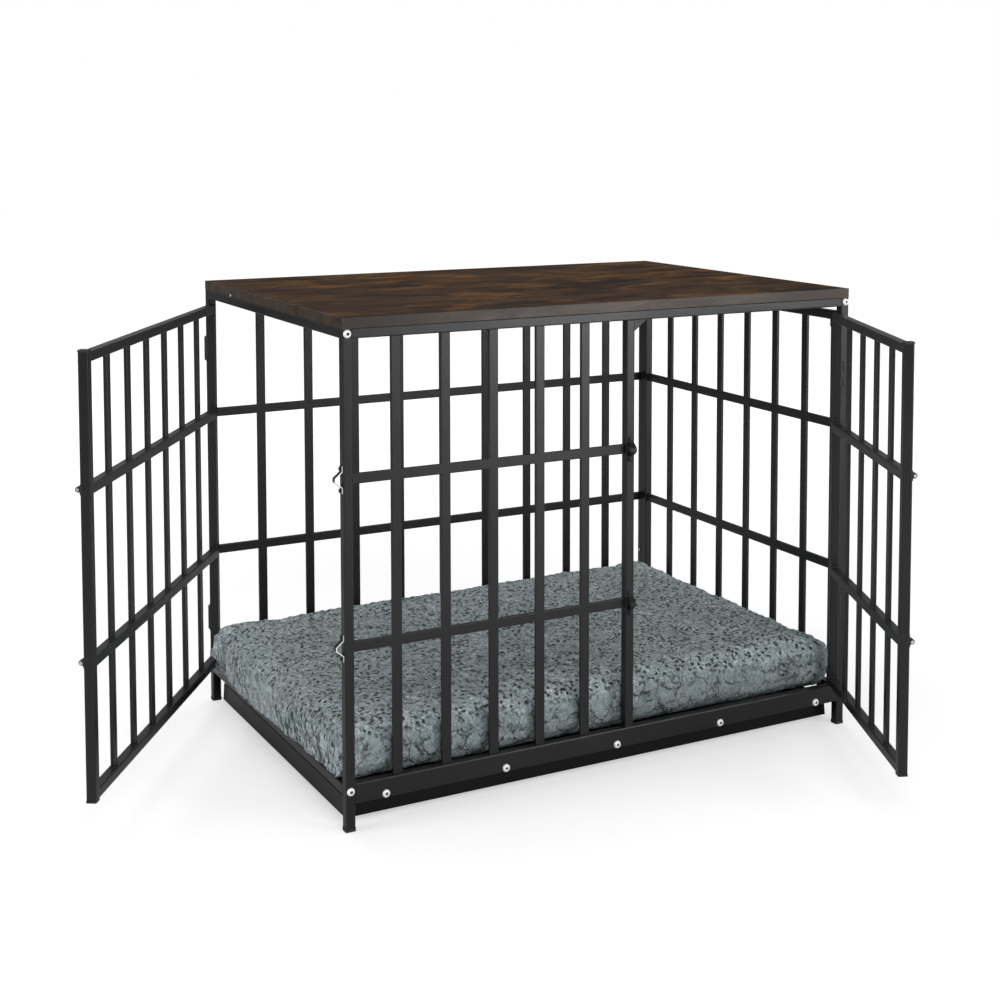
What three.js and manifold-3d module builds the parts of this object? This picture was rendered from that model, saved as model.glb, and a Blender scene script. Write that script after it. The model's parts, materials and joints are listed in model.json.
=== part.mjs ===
// Dog crate end table: a steel bar crate with a wood-look board on top, a hinged door
// in its left end and another at the right of its front, a floor frame with a
// slide-out tray, and a cushion. Millimetres, +Z up, X along the length, Y to the back.
// Everything is laid out from the frame's front left corner; the last lines then move the
// origin to the middle of the front left foot's underside.

import * as THREE from 'three';
import { mergeVertices } from 'three/addons/utils/BufferGeometryUtils.js';
import Module from 'manifold-3d';

const wasm = await Module();
wasm.setup();

// ---------------------------------------------------------------- sizes
const LENGTH = 800;
const DEPTH = 572;
const HEIGHT = 660;
const TUBE = 13; // square tube of the frame and of the doors
const WALL = 1.2; // wall of every tube
const TUBE_ROUND = 1.4;
const TOP_THICK = 13.5;
const EDGE_BAND = 1;

const BAR_WIDE = 13.5; // flat bars of the grilles
const BAR_THICK = 5;
const BAR_CHAMFER = 0.7;
const WELD = 0.8; // how far a bar's end runs into a tube's wall
const CROSS_AT = [0.6994, 0.3211]; // upper edges of the crossbars, as shares of the clear height

const FRONT_BARS = 5;
const FRONT_BAR_FIRST = 67.2; // left edge of the first front bar
const FRONT_BAR_PITCH = 69.6;
const STILE_X = 415.2; // left face of the stile beside the front door
const BACK_BARS = 9;
const END_BARS = 6;
const FRONT_DOOR_BARS = 4;

const RAIL_TALL = 26.5; // front and back bottom rails
const RAIL_TALL_Z = 35.5;
const END_RAIL_Z = 46; // bottom rails of the two ends

const FOOT_TALL = 4;
const FOOT_LIP = 0.6; // how far a foot or an end cap stands out round its tube
const PLUG_CLEAR = 0.3;
const PLUG_DEEP = 11;
const CAP_TALL = 2.4;

const SLAT_Z = 34.5; // underside of the floor slats
const SLAT_X = [55, 228.5, 402, 575, 747]; // middles of the slats, and of the rail's bolts
const RIB_WIDE = 22;
const RIB_THICK = 4;

const TRAY_GAP_X = 10.8; // from the frame's outer faces to the tray's ends
const TRAY_GAP_Y = 30; // from the frame's outer faces to the tray's sides
const TRAY_Z = 6;
const TRAY_TALL = 27;
const SHEET = 1;
const TRAY_LIP = 6;
const TRAY_SLANT = 4; // how far the folded walls' ends lean in at the top
const RUNNER_CLEAR = 0.4;
const RUNNER_THICK = 1.5;
const RUNNER_END_GAP = 20;

const CUSHION_CLEAR = 2;
const CUSHION_TALL = 78;
const CUSHION_ROUND = 18;

const DOOR_GAP = 2; // beside each door's upright edges
const DOOR_LIFT = 3.3; // from the front bottom rail up to the doors' lower ends
const DOOR_DROP = 8.5; // from the top rails down to the doors' upper ends
const LEFT_DOOR_OPEN = 33.6; // degrees from closed, as it stands
const FRONT_DOOR_OPEN = 66.7;

const HINGE_LONG = 36;
const HINGE_LEAF_WIDE = 8;
const HINGE_LEAF_THICK = 1.2;
const KNUCKLE_R = 3.3;
const PIN_R = 1.7;
const TURN_CLEAR = 0.35; // round every pin and rod
const ROUND_SIDES = 12; // facets of pins, knuckles, rods and holes
const HINGE_AXIS_OUT = 3.4; // hinge axis ahead of the door's outer face
const LEFT_HINGE_IN = [68, 69.7]; // middles of its hinges from the door's upper and lower end
const FRONT_HINGE_IN = [92, 118.7];

const ROD_R = 2.3;
const ROD_LONG = 52;
const ROD_OUT = 4; // rod axis ahead of the door's outer face
const ROD_START = 1.5; // tip behind the door's free edge, drawn back
const KNOB_R = 1.8;
const KNOB_LONG = 5.6;
const KNOB_AT = 30;
const GUIDE_PLATE = [2, 46]; // along the crossbar from the free edge
const GUIDE_PLATE_THICK = 1.2;
const GUIDE_LOOPS = [[3, 11], [35, 43]];
const GUIDE_WALL = 0.9;

const KEEPER_TALL = 35;
const KEEPER_WIDE = 8;
const KEEPER_THICK = 1.2;
const KEEPER_REACH = 10.6;
const KEEPER_MOUTH = 19.6; // height of the bend where it leaves the post
const KEEPER_TIP = 4; // height of its flat tip

const BOLT_R = 3;
const BOLT_CLEAR = 0.3;
const BOLT_HEAD_R = 5.3;
const BOLT_HEAD_TALL = 3.1;
const BOLT_SOCKET_R = 2.2;
const BOLT_SOCKET_DEEP = 1.9;
const BOLT_LONG = 24;

const GUSSET_WIDE = 27;
const GUSSET_TALL = 21;
const GUSSET_EDGE = 2; // short edge at each of its points
const GUSSET_THICK = 2;
const GUSSET_GRIP = 8; // how far it laps onto the stile and the rail
const CORNER_WIDE = 13; // stepped plate in the right panel's upper front corner
const CORNER_STEP = [6, 11]; // width and height of its lower step

// Sizes that follow from the ones above.
const HALF = TUBE / 2; // where welded tubes meet, and where bolts go through them
const RIGHT_X = LENGTH - TUBE;
const BACK_Y = DEPTH - TUBE;
const TOP_Z = HEIGHT - TOP_THICK; // underside of the board, top of the frame
const RAIL_Z = TOP_Z - TUBE;
const RAIL_TOP = RAIL_TALL_Z + RAIL_TALL;
const CROSS_TOPS = CROSS_AT.map((share) => RAIL_TOP + share * (RAIL_Z - RAIL_TOP));
const DOOR_Z = [RAIL_TOP + DOOR_LIFT, RAIL_Z - DOOR_DROP];
const hingeHeights = ([down, up]) => [DOOR_Z[1] - down, DOOR_Z[0] + up];
const BAR_IN = (TUBE - BAR_THICK) / 2; // bars lie in the middle of the tubes
const STILE_RIGHT = STILE_X + TUBE;
const LEFT_DOOR_WIDE = BACK_Y - TUBE - 2 * DOOR_GAP;
const FRONT_DOOR_WIDE = RIGHT_X - STILE_RIGHT - 2 * DOOR_GAP;

// ---------------------------------------------------------------- looks
const look = (color, roughness, metalness) => ({ color, roughness, metalness });
const BLACK_COAT = look(0x2b2c2c, 0.5, 0.3);
const BLACK_PLASTIC = look(0x171717, 0.6, 0);
const ZINC = look(0xc9cacb, 0.3, 1);
const BOARD = look(0x4a3426, 0.5, 0);
const BAND = look(0x6a5a4c, 0.5, 0);
const PLUSH = look(0x8a9698, 0.95, 0);

// ---------------------------------------------------------------- solids
const solid = (geometry) => {
  geometry.deleteAttribute('normal');
  geometry.deleteAttribute('uv');
  const plain = mergeVertices(geometry, 1e-4);
  return new wasm.Manifold(new wasm.Mesh({
    numProp: 3,
    vertProperties: new Float32Array(plain.attributes.position.array),
    triVerts: new Uint32Array(plain.index.array),
  }));
};

const surface = (body) => {
  const mesh = body.getMesh();
  const geometry = new THREE.BufferGeometry();
  geometry.setAttribute('position', new THREE.BufferAttribute(mesh.vertProperties, 3));
  geometry.setIndex(new THREE.BufferAttribute(mesh.triVerts, 1));
  return geometry;
};

const join = (list) => list.reduce((sum, each) => sum.add(each));
const cut = (body, list) => list.reduce((rest, each) => rest.subtract(each), body);

// The directions of a profile's two sides and of its length, for each axis.
const BASES = {
  x: [[0, 1, 0], [0, 0, 1], [1, 0, 0]],
  y: [[0, 0, 1], [1, 0, 0], [0, 1, 0]],
  z: [[1, 0, 0], [0, 1, 0], [0, 0, 1]],
};
const SIDES = { x: [1, 2, 0], y: [2, 0, 1], z: [0, 1, 2] };

const extruded = (shape, axis, start, long) => {
  const geometry = new THREE.ExtrudeGeometry(shape, { depth: long, bevelEnabled: false });
  geometry.translate(0, 0, start);
  const [a, b, c] = BASES[axis].map((v) => new THREE.Vector3(...v));
  return geometry.applyMatrix4(new THREE.Matrix4().makeBasis(a, b, c));
};

// A rectangle with rounded corners; one step a corner makes it a chamfer.
const rounded = (u0, v0, u1, v1, r, steps) => {
  const corners = [
    [u1 - r, v0 + r, -90],
    [u1 - r, v1 - r, 0],
    [u0 + r, v1 - r, 90],
    [u0 + r, v0 + r, 180],
  ];
  const points = [];
  for (const [u, v, from] of corners) {
    for (let i = 0; i <= steps; i += 1) {
      const turn = THREE.MathUtils.degToRad(from + (90 * i) / steps);
      points.push(new THREE.Vector2(u + r * Math.cos(turn), v + r * Math.sin(turn)));
    }
  }
  return new THREE.Shape(points);
};

// A straight length along one axis, between two opposite corners of its box.
const length = (axis, low, high, r, steps) => {
  const [u, v, w] = SIDES[axis];
  const shape = rounded(low[u], low[v], high[u], high[v], r, steps);
  return solid(extruded(shape, axis, low[w], high[w] - low[w]));
};

const block = (low, high) => {
  const size = high.map((value, i) => value - low[i]);
  const geometry = new THREE.BoxGeometry(...size);
  geometry.translate(...low.map((value, i) => value + size[i] / 2));
  return solid(geometry);
};

const flatBar = (axis, low, high) => length(axis, low, high, BAR_CHAMFER, 1);
const tubeOuter = (axis, low, high) => length(axis, low, high, TUBE_ROUND, 2);

// The hollow of a tube. It runs past both ends, or stops short of them where past is negative.
const tubeBore = (axis, low, high, past) => {
  const w = SIDES[axis][2];
  const from = low.map((value, i) => (i === w ? value - past : value + WALL));
  const to = high.map((value, i) => (i === w ? value + past : value - WALL));
  return block(from, to);
};

const tube = (axis, low, high) => cut(tubeOuter(axis, low, high), [tubeBore(axis, low, high, 1)]);

// A round length along one axis, through a centre whose value along that axis isn't used.
const round = (axis, centre, r, start, long, sides) => {
  const geometry = new THREE.CylinderGeometry(r, r, long, sides);
  geometry.rotateX(Math.PI / 2);
  geometry.translate(0, 0, long / 2);
  const [a, b, c] = BASES[axis].map((v) => new THREE.Vector3(...v));
  geometry.applyMatrix4(new THREE.Matrix4().makeBasis(a, b, c));
  const w = SIDES[axis][2];
  geometry.translate(...centre.map((value, i) => (i === w ? start : value)));
  return solid(geometry);
};

const crate = new THREE.Group();
const add = (name, body, finish, parent = crate) => {
  const geometry = surface(body).toNonIndexed();
  geometry.computeVertexNormals();
  const piece = new THREE.Mesh(geometry, new THREE.MeshStandardMaterial(finish));
  piece.name = name;
  parent.add(piece);
};

// ---------------------------------------------------------------- board
const boardBlock = (below, above) => block(
  [EDGE_BAND, EDGE_BAND, TOP_Z - below],
  [LENGTH - EDGE_BAND, DEPTH - EDGE_BAND, HEIGHT + above],
);
add('tabletop', boardBlock(0, 0), BOARD);
add('tabletop_edge_band', cut(
  block([0, 0, TOP_Z], [LENGTH, DEPTH, HEIGHT]),
  [boardBlock(1, 1)],
), BAND);

// ---------------------------------------------------------------- bolts
// A button-head bolt in the front, its head on the plane y 0.
const boltHole = (x, z) => round('y', [x, 0, z], BOLT_R + BOLT_CLEAR, -1, BOLT_LONG + 4, ROUND_SIDES);

const buttonBolt = (x, z) => {
  const profile = [
    [0, BOLT_SOCKET_DEEP - BOLT_HEAD_TALL],
    [BOLT_SOCKET_R, BOLT_SOCKET_DEEP - BOLT_HEAD_TALL],
    [BOLT_SOCKET_R, -BOLT_HEAD_TALL],
    [BOLT_HEAD_R * 0.62, -BOLT_HEAD_TALL],
    [BOLT_HEAD_R * 0.86, -BOLT_HEAD_TALL * 0.72],
    [BOLT_HEAD_R, -BOLT_HEAD_TALL * 0.25],
    [BOLT_HEAD_R, 0],
    [BOLT_R, 0],
    [BOLT_R, BOLT_LONG - 0.8],
    [BOLT_R - 0.8, BOLT_LONG],
    [0, BOLT_LONG],
  ].map(([r, y]) => new THREE.Vector2(r, y));
  const geometry = new THREE.LatheGeometry(profile, 14);
  geometry.translate(x, 0, z);
  return solid(geometry);
};

const TOP_BOLT_Z = RAIL_Z + HALF;
const END_BOLT_Z = END_RAIL_Z + HALF;
const SLAT_BOLT_Z = SLAT_Z + HALF;
const RIGHT_POST_X = LENGTH - HALF;
add('post_bolt_top_left', buttonBolt(HALF, TOP_BOLT_Z), ZINC);
add('post_bolt_bottom_left', buttonBolt(HALF, END_BOLT_Z), ZINC);
add('post_bolt_top_right', buttonBolt(RIGHT_POST_X, TOP_BOLT_Z), ZINC);
SLAT_X.forEach((x, i) => add(`rail_bolt_${i + 1}`, buttonBolt(x, SLAT_BOLT_Z), ZINC));

// ---------------------------------------------------------------- posts and feet
const post = (x, y, holes) => cut(
  tube('z', [x, y, FOOT_TALL], [x + TUBE, y + TUBE, TOP_Z]),
  holes.map((z) => boltHole(x + HALF, z)),
);

// A plastic cap on a tube's end: its plate lies from z to z + tall, its plug points `up`,
// and its lip stands out by `back` at the tube's +Y face and by FOOT_LIP at the others.
const endCap = (x, y, z, tall, up, back = FOOT_LIP) => {
  const inset = WALL + PLUG_CLEAR;
  const from = up ? z + tall - 1 : z - PLUG_DEEP;
  const high = [x + TUBE + FOOT_LIP, y + TUBE + back, z + tall];
  const plate = length('z', [x - FOOT_LIP, y - FOOT_LIP, z], high, 2, 2);
  const plug = block(
    [x + inset, y + inset, from],
    [x + TUBE - inset, y + TUBE - inset, from + PLUG_DEEP + 1],
  );
  return plate.add(plug);
};

const CORNERS = [
  ['front_left', 0, 0, [TOP_BOLT_Z, END_BOLT_Z]],
  ['front_right', RIGHT_X, 0, [TOP_BOLT_Z]],
  ['back_left', 0, BACK_Y, []],
  ['back_right', RIGHT_X, BACK_Y, []],
];
for (const [place, x, y, holes] of CORNERS) {
  add(`${place}_post`, post(x, y, holes), BLACK_COAT);
  add(`${place}_foot`, endCap(x, y, 0, FOOT_TALL, true), BLACK_PLASTIC);
}

// ---------------------------------------------------------------- rails
add('front_top_rail', tube('x', [TUBE, 0, RAIL_Z], [RIGHT_X, TUBE, TOP_Z]), BLACK_COAT);
add('back_top_rail', tube('x', [TUBE, BACK_Y, RAIL_Z], [RIGHT_X, DEPTH, TOP_Z]), BLACK_COAT);
add('left_top_rail', tube('y', [0, TUBE, RAIL_Z], [TUBE, BACK_Y, TOP_Z]), BLACK_COAT);
add('right_top_rail', tube('y', [RIGHT_X, TUBE, RAIL_Z], [LENGTH, BACK_Y, TOP_Z]), BLACK_COAT);
add('front_bottom_rail', cut(
  tube('x', [TUBE, 0, RAIL_TALL_Z], [RIGHT_X, TUBE, RAIL_TOP]),
  SLAT_X.map((x) => boltHole(x, SLAT_BOLT_Z)),
), BLACK_COAT);
add('back_bottom_rail', tube('x', [TUBE, BACK_Y, RAIL_TALL_Z], [RIGHT_X, DEPTH, RAIL_TOP]), BLACK_COAT);
add('left_bottom_rail', tube('y', [0, TUBE, END_RAIL_Z], [TUBE, BACK_Y, END_RAIL_Z + TUBE]), BLACK_COAT);

// ---------------------------------------------------------------- fixed grilles
const series = (count, first, pitch) => Array.from({ length: count }, (unused, i) => first + i * pitch);

// The left edges of bars that leave equal gaps between two faces.
const spread = (from, to, count) => {
  const gap = (to - from - count * BAR_WIDE) / (count + 1);
  return series(count, from + gap, BAR_WIDE + gap);
};

// Upright bars and crossbars in one plane along X, welded to one another.
const grilleX = (x0, x1, y, z0, z1, barXs) => join([
  ...barXs.map((x) => flatBar('z', [x, y, z0], [x + BAR_WIDE, y + BAR_THICK, z1])),
  ...CROSS_TOPS.map((z) => flatBar('x', [x0, y, z - BAR_WIDE], [x1, y + BAR_THICK, z])),
]);

const frontBars = series(FRONT_BARS, FRONT_BAR_FIRST, FRONT_BAR_PITCH);
add('front_grille', grilleX(TUBE, STILE_X, BAR_IN, RAIL_TOP, RAIL_Z, frontBars), BLACK_COAT);

// The stile beside the doorway carries a triangular plate behind the doorway's upper
// corner, which the shut door stops against.
const stile = tube('z', [STILE_X, 0, RAIL_TOP], [STILE_RIGHT, TUBE, RAIL_Z]);
const gusset = solid(extruded(new THREE.Shape([
  [RAIL_Z + GUSSET_GRIP, STILE_RIGHT - GUSSET_GRIP],
  [RAIL_Z + GUSSET_GRIP, STILE_RIGHT + GUSSET_WIDE],
  [RAIL_Z - GUSSET_EDGE, STILE_RIGHT + GUSSET_WIDE],
  [RAIL_Z - GUSSET_TALL, STILE_RIGHT + GUSSET_EDGE],
  [RAIL_Z - GUSSET_TALL, STILE_RIGHT - GUSSET_GRIP],
].map(([z, x]) => new THREE.Vector2(z, x))), 'y', TUBE, GUSSET_THICK));
const gussetWeld = block(
  [STILE_RIGHT - GUSSET_GRIP, TUBE - WELD, RAIL_Z - GUSSET_TALL],
  [STILE_RIGHT - TUBE_ROUND, TUBE + GUSSET_THICK, RAIL_Z],
);
add('front_stile', join([stile, gusset, gussetWeld]), BLACK_COAT);

const backBars = spread(TUBE, RIGHT_X, BACK_BARS);
add('back_grille', grilleX(TUBE, RIGHT_X, BACK_Y + BAR_IN, RAIL_TOP, RAIL_Z, backBars), BLACK_COAT);

// The right end is one welded panel, as tall as the doors at its upper end, bolted
// between the posts. A stepped plate fills its upper front corner.
const panelTop = DOOR_Z[1];
const panelStiles = [
  ['z', [RIGHT_X, TUBE, END_RAIL_Z], [LENGTH, 2 * TUBE, panelTop]],
  ['z', [RIGHT_X, BACK_Y - TUBE, END_RAIL_Z], [LENGTH, BACK_Y, panelTop]],
];
const panelRails = [panelTop - TUBE, END_RAIL_Z].map(
  (z) => ['y', [RIGHT_X, TUBE + HALF, z], [LENGTH, BACK_Y - HALF, z + TUBE]],
);
const panelBarX = RIGHT_X + BAR_IN;
const panelBars = spread(2 * TUBE, BACK_Y - TUBE, END_BARS).map((y) => flatBar(
  'z',
  [panelBarX, y, END_RAIL_Z + TUBE - WELD],
  [panelBarX + BAR_THICK, y + BAR_WIDE, panelTop - TUBE + WELD],
));
const panelCross = CROSS_TOPS.map((z) => flatBar(
  'y',
  [panelBarX, 2 * TUBE - WELD, z - BAR_WIDE],
  [panelBarX + BAR_THICK, BACK_Y - TUBE + WELD, z],
));
const cornerPlate = [CORNER_WIDE, CORNER_STEP[0]].map((wide, i) => block(
  [RIGHT_X + BAR_IN, 2 * TUBE - WELD, panelTop - TUBE - i * CORNER_STEP[1] - WELD],
  [RIGHT_X + BAR_IN + GUSSET_THICK, 2 * TUBE + wide, panelTop - TUBE + WELD],
));
const panelOuter = [...panelStiles, ...panelRails].map((each) => tubeOuter(...each));
const panelHollow = [
  ...panelStiles.map(([axis, low, high]) => tubeBore(axis, low, high, 1)),
  ...panelRails.map(([axis, low, high]) => tubeBore(axis, low, high, 0)),
];
const panelFlats = [...panelBars, ...panelCross, ...cornerPlate];
add('right_panel', cut(join([...panelOuter, ...panelFlats]), panelHollow), BLACK_COAT);

// ---------------------------------------------------------------- floor
const slats = SLAT_X.map((x) => ['y', [x - HALF, TUBE, SLAT_Z], [x + HALF, BACK_Y, SLAT_Z + TUBE]]);
const rib = block(
  [SLAT_X[0], (DEPTH - RIB_WIDE) / 2, SLAT_Z + TUBE - RIB_THICK],
  [SLAT_X[SLAT_X.length - 1], (DEPTH + RIB_WIDE) / 2, SLAT_Z + TUBE],
);
add('floor_frame', cut(
  join([...slats.map((each) => tubeOuter(...each)), rib]),
  slats.map(([axis, low, high]) => tubeBore(axis, low, high, 1)),
), BLACK_COAT);

// Angles under the slats, whose feet carry the tray's lips.
const trayTop = TRAY_Z + TRAY_TALL;
const lipZ = trayTop - SHEET;
const footZ = lipZ - RUNNER_CLEAR - RUNNER_THICK;
const runner = (y, toward) => {
  const slab = (reach, z0, z1) => block(
    [RUNNER_END_GAP, Math.min(y, y + toward * reach), z0],
    [LENGTH - RUNNER_END_GAP, Math.max(y, y + toward * reach), z1],
  );
  return slab(RUNNER_THICK, footZ, SLAT_Z).add(slab(RUNNER_THICK + TRAY_LIP, footZ, footZ + RUNNER_THICK));
};
const runnerY = TRAY_GAP_Y - TRAY_LIP - RUNNER_CLEAR - RUNNER_THICK;
add('front_tray_runner', runner(runnerY, 1), BLACK_COAT);
add('back_tray_runner', runner(DEPTH - runnerY, -1), BLACK_COAT);

// The tray is one folded sheet: a bottom, four walls with slanted ends, a lip along each side.
const trayX = [TRAY_GAP_X, LENGTH - TRAY_GAP_X];
const trayY = [TRAY_GAP_Y, DEPTH - TRAY_GAP_Y];
const trayWall = (axis, [from, to], at) => {
  const points = [
    [from, TRAY_Z],
    [to, TRAY_Z],
    [to - TRAY_SLANT, trayTop],
    [from + TRAY_SLANT, trayTop],
  ].map(([along, z]) => (axis === 'x' ? new THREE.Vector2(along, z) : new THREE.Vector2(z, along)));
  return solid(extruded(new THREE.Shape(points), axis, at, SHEET));
};
const trayLip = (y0, y1) => block(
  [trayX[0] + TRAY_SLANT, y0, lipZ],
  [trayX[1] - TRAY_SLANT, y1, trayTop],
);
add('tray', join([
  block([trayX[0], trayY[0], TRAY_Z], [trayX[1], trayY[1], TRAY_Z + SHEET]),
  trayWall('x', trayY, trayX[0]),
  trayWall('x', trayY, trayX[1] - SHEET),
  trayWall('y', trayX, trayY[0]),
  trayWall('y', trayX, trayY[1] - SHEET),
  trayLip(trayY[0] - TRAY_LIP, trayY[0] + SHEET),
  trayLip(trayY[1] - SHEET, trayY[1] + TRAY_LIP),
]), BLACK_COAT);

// ---------------------------------------------------------------- cushion
const cushionZ = SLAT_Z + TUBE;
const cushionIn = TUBE + CUSHION_CLEAR;
add('cushion', length(
  'x',
  [cushionIn, cushionIn, cushionZ],
  [LENGTH - cushionIn, DEPTH - cushionIn, cushionZ + CUSHION_TALL],
  CUSHION_ROUND,
  3,
), PLUSH);

// ---------------------------------------------------------------- doors
// A door is built shut, along +X from its hinge edge at x 0, its outer face on y 0 and
// its inner face at y TUBE. Its groups then turn it about the hinge and set it in place.
const doorFrame = (wide, barXs) => {
  const [z0, z1] = DOOR_Z;
  const stiles = [
    ['z', [0, 0, z0], [TUBE, TUBE, z1]],
    ['z', [wide - TUBE, 0, z0], [wide, TUBE, z1]],
  ];
  const tubeTops = [z0 + TUBE, ...CROSS_TOPS, z1];
  const rails = tubeTops.map((z) => ['x', [HALF, 0, z - TUBE], [wide - HALF, TUBE, z]]);
  const bars = barXs.map((x) => flatBar(
    'z',
    [x, BAR_IN, z0 + TUBE - WELD],
    [x + BAR_WIDE, BAR_IN + BAR_THICK, z1 - TUBE + WELD],
  ));
  const tubes = [...stiles, ...rails];
  const hollow = [
    tubeBore(...stiles[0], -HALF),
    tubeBore(...stiles[1], 1),
    ...rails.map((each) => tubeBore(...each, 0)),
  ];
  return cut(join([...tubes.map((each) => tubeOuter(...each)), ...bars]), hollow);
};

// A hinge round z, its axis along Z. The frame leaf has the two outer knuckles, and the
// door leaf the middle one and the pin.
const AXIS = [-DOOR_GAP / 2, -HINGE_AXIS_OUT, 0];
const hingeLeaf = (x0, x1, z0, z1) => block([x0, -HINGE_LEAF_THICK, z0], [x1, 0, z1]);
const knuckle = (z0, z1) => round('z', AXIS, KNUCKLE_R, z0, z1 - z0, ROUND_SIDES);
const hinge = (z) => {
  const low = z - HINGE_LONG / 2;
  const high = z + HINGE_LONG / 2;
  const midLow = low + HINGE_LONG / 3;
  const midHigh = high - HINGE_LONG / 3;
  const clear = KNUCKLE_R + TURN_CLEAR;
  const far = clear + HINGE_LEAF_WIDE;
  const frameSteps = [[low, midLow - TURN_CLEAR], [midHigh + TURN_CLEAR, high]];
  const frameLeaf = cut(join([
    hingeLeaf(AXIS[0] - far, AXIS[0] - clear, low, high),
    ...frameSteps.map(([z0, z1]) => hingeLeaf(AXIS[0] - clear - 1, AXIS[0] - 1, z0, z1)),
    ...frameSteps.map(([z0, z1]) => knuckle(z0, z1)),
  ]), [round('z', AXIS, PIN_R + TURN_CLEAR, low - 1, HINGE_LONG + 2, ROUND_SIDES)]);
  const doorLeaf = join([
    hingeLeaf(AXIS[0] + clear, AXIS[0] + far, low, high),
    hingeLeaf(AXIS[0] + 1, AXIS[0] + clear + 1, midLow, midHigh),
    knuckle(midLow, midHigh),
    round('z', AXIS, PIN_R, low - 1, HINGE_LONG + 2, ROUND_SIDES),
  ]);
  return [frameLeaf, doorLeaf];
};

// A slide bolt on a crossbar's outer face, at the free edge of a door: the guide is a
// plate with two loops, and the rod slides in them.
const slideBolt = (wide, z) => {
  const axis = [0, -ROD_OUT, z];
  const bore = ROD_R + TURN_CLEAR;
  const loop = bore + GUIDE_WALL;
  const [plateNear, plateFar] = GUIDE_PLATE;
  const plate = block(
    [wide - plateFar, -GUIDE_PLATE_THICK, z - HALF],
    [wide - plateNear, 0, z + HALF],
  );
  const loops = GUIDE_LOOPS.flatMap(([near, far]) => [
    block([wide - far, -ROD_OUT, z - loop], [wide - near, -GUIDE_PLATE_THICK / 2, z + loop]),
    round('x', axis, loop, wide - far, far - near, ROUND_SIDES),
  ]);
  const rodPath = round('x', axis, bore, wide - plateFar, plateFar, ROUND_SIDES);
  const guide = cut(join([plate, ...loops]), [rodPath]);
  const knobAt = [wide - KNOB_AT, 0, z];
  const rod = join([
    round('x', axis, ROD_R, wide - ROD_START - ROD_LONG, ROD_LONG, ROUND_SIDES),
    round('y', knobAt, KNOB_R, -ROD_OUT - KNOB_LONG, KNOB_LONG, ROUND_SIDES),
  ]);
  return [guide, rod];
};

// A strip of even thickness bent along a path, as a closed outline.
const strip = (path, thick) => {
  const last = path.length - 1;
  const normal = (i) => {
    const along = path[i + 1].clone().sub(path[i]).normalize();
    return new THREE.Vector2(-along.y, along.x);
  };
  const offset = path.map((point, i) => {
    const before = normal(Math.max(i - 1, 0));
    const middle = before.clone().add(normal(Math.min(i, last - 1))).normalize();
    return point.clone().addScaledVector(middle, thick / middle.dot(before));
  });
  return [...path, ...offset.reverse()];
};

// A strap bent to a point round the rod, its feet on the plane y 0 and its middle at x and z.
const keeper = (x, z) => {
  const half = [
    [KEEPER_TALL / 2, 0],
    [KEEPER_MOUTH / 2, 0],
    [KEEPER_TIP / 2, KEEPER_REACH - KEEPER_THICK],
  ];
  const path = [...half.map(([a, b]) => [-a, b]), ...half.reverse()];
  const points = path.map(([a, b]) => new THREE.Vector2(-b, z + a));
  const shape = new THREE.Shape(strip(points, KEEPER_THICK));
  return solid(extruded(shape, 'x', x - KEEPER_WIDE / 2, KEEPER_WIDE));
};

// Each doorway's fixed hinge leaves and keepers stand in one group, and the door in a
// group inside it that turns about the hinge axis. Hand -1 mirrors all of it.
const doorway = (name, hand, wide, bars, hingeIn, openDegrees, keeperPlace) => {
  const side = new THREE.Group();
  const swing = new THREE.Group();
  const hang = new THREE.Group();
  swing.position.set(hand * AXIS[0], AXIS[1], 0);
  swing.rotation.z = -hand * THREE.MathUtils.degToRad(openDegrees);
  hang.position.set(-hand * AXIS[0], -AXIS[1], 0);
  side.add(swing);
  swing.add(hang);
  const put = (label, body, finish, parent) => {
    add(label, hand < 0 ? body.mirror([1, 0, 0]) : body, finish, parent);
  };
  const freeX = wide - TUBE;
  put(name, doorFrame(wide, spread(TUBE, freeX, bars)), BLACK_COAT, hang);
  const [z0, z1] = DOOR_Z;
  put(`${name}_top_cap`, endCap(freeX, 0, z1, CAP_TALL, false, 0), BLACK_PLASTIC, hang);
  put(`${name}_bottom_cap`, endCap(freeX, 0, z0 - CAP_TALL, CAP_TALL, true, 0), BLACK_PLASTIC, hang);
  ['upper', 'lower'].forEach((level, i) => {
    const [frameLeaf, doorLeaf] = hinge(hingeHeights(hingeIn)[i]);
    put(`${name}_${level}_hinge_frame_leaf`, frameLeaf, BLACK_COAT, side);
    put(`${name}_${level}_hinge_door_leaf`, doorLeaf, BLACK_COAT, hang);
    const crossZ = CROSS_TOPS[i] - HALF;
    const [guide, rod] = slideBolt(wide, crossZ);
    put(`${name}_${level}_slide_bolt_guide`, guide, BLACK_COAT, hang);
    put(`${name}_${level}_slide_bolt_rod`, rod, ZINC, hang);
    put(`${keeperPlace}_${level}_keeper`, keeper(wide + DOOR_GAP + HALF, crossZ), ZINC, side);
  });
  return side;
};

const leftDoorway = doorway(
  'left_door',
  1,
  LEFT_DOOR_WIDE,
  END_BARS,
  LEFT_HINGE_IN,
  LEFT_DOOR_OPEN,
  'front_left_post',
);
leftDoorway.rotation.z = -Math.PI / 2;
leftDoorway.position.set(0, BACK_Y - DOOR_GAP, 0);

const frontDoorway = doorway(
  'front_door',
  -1,
  FRONT_DOOR_WIDE,
  FRONT_DOOR_BARS,
  FRONT_HINGE_IN,
  FRONT_DOOR_OPEN,
  'front_stile',
);
frontDoorway.position.set(RIGHT_X - DOOR_GAP, 0, 0);

crate.add(leftDoorway, frontDoorway);
crate.position.set(-HALF, -HALF, 0);

const part = new THREE.Group();
part.name = 'dog_crate_end_table';
part.add(crate);
export default part;
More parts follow.
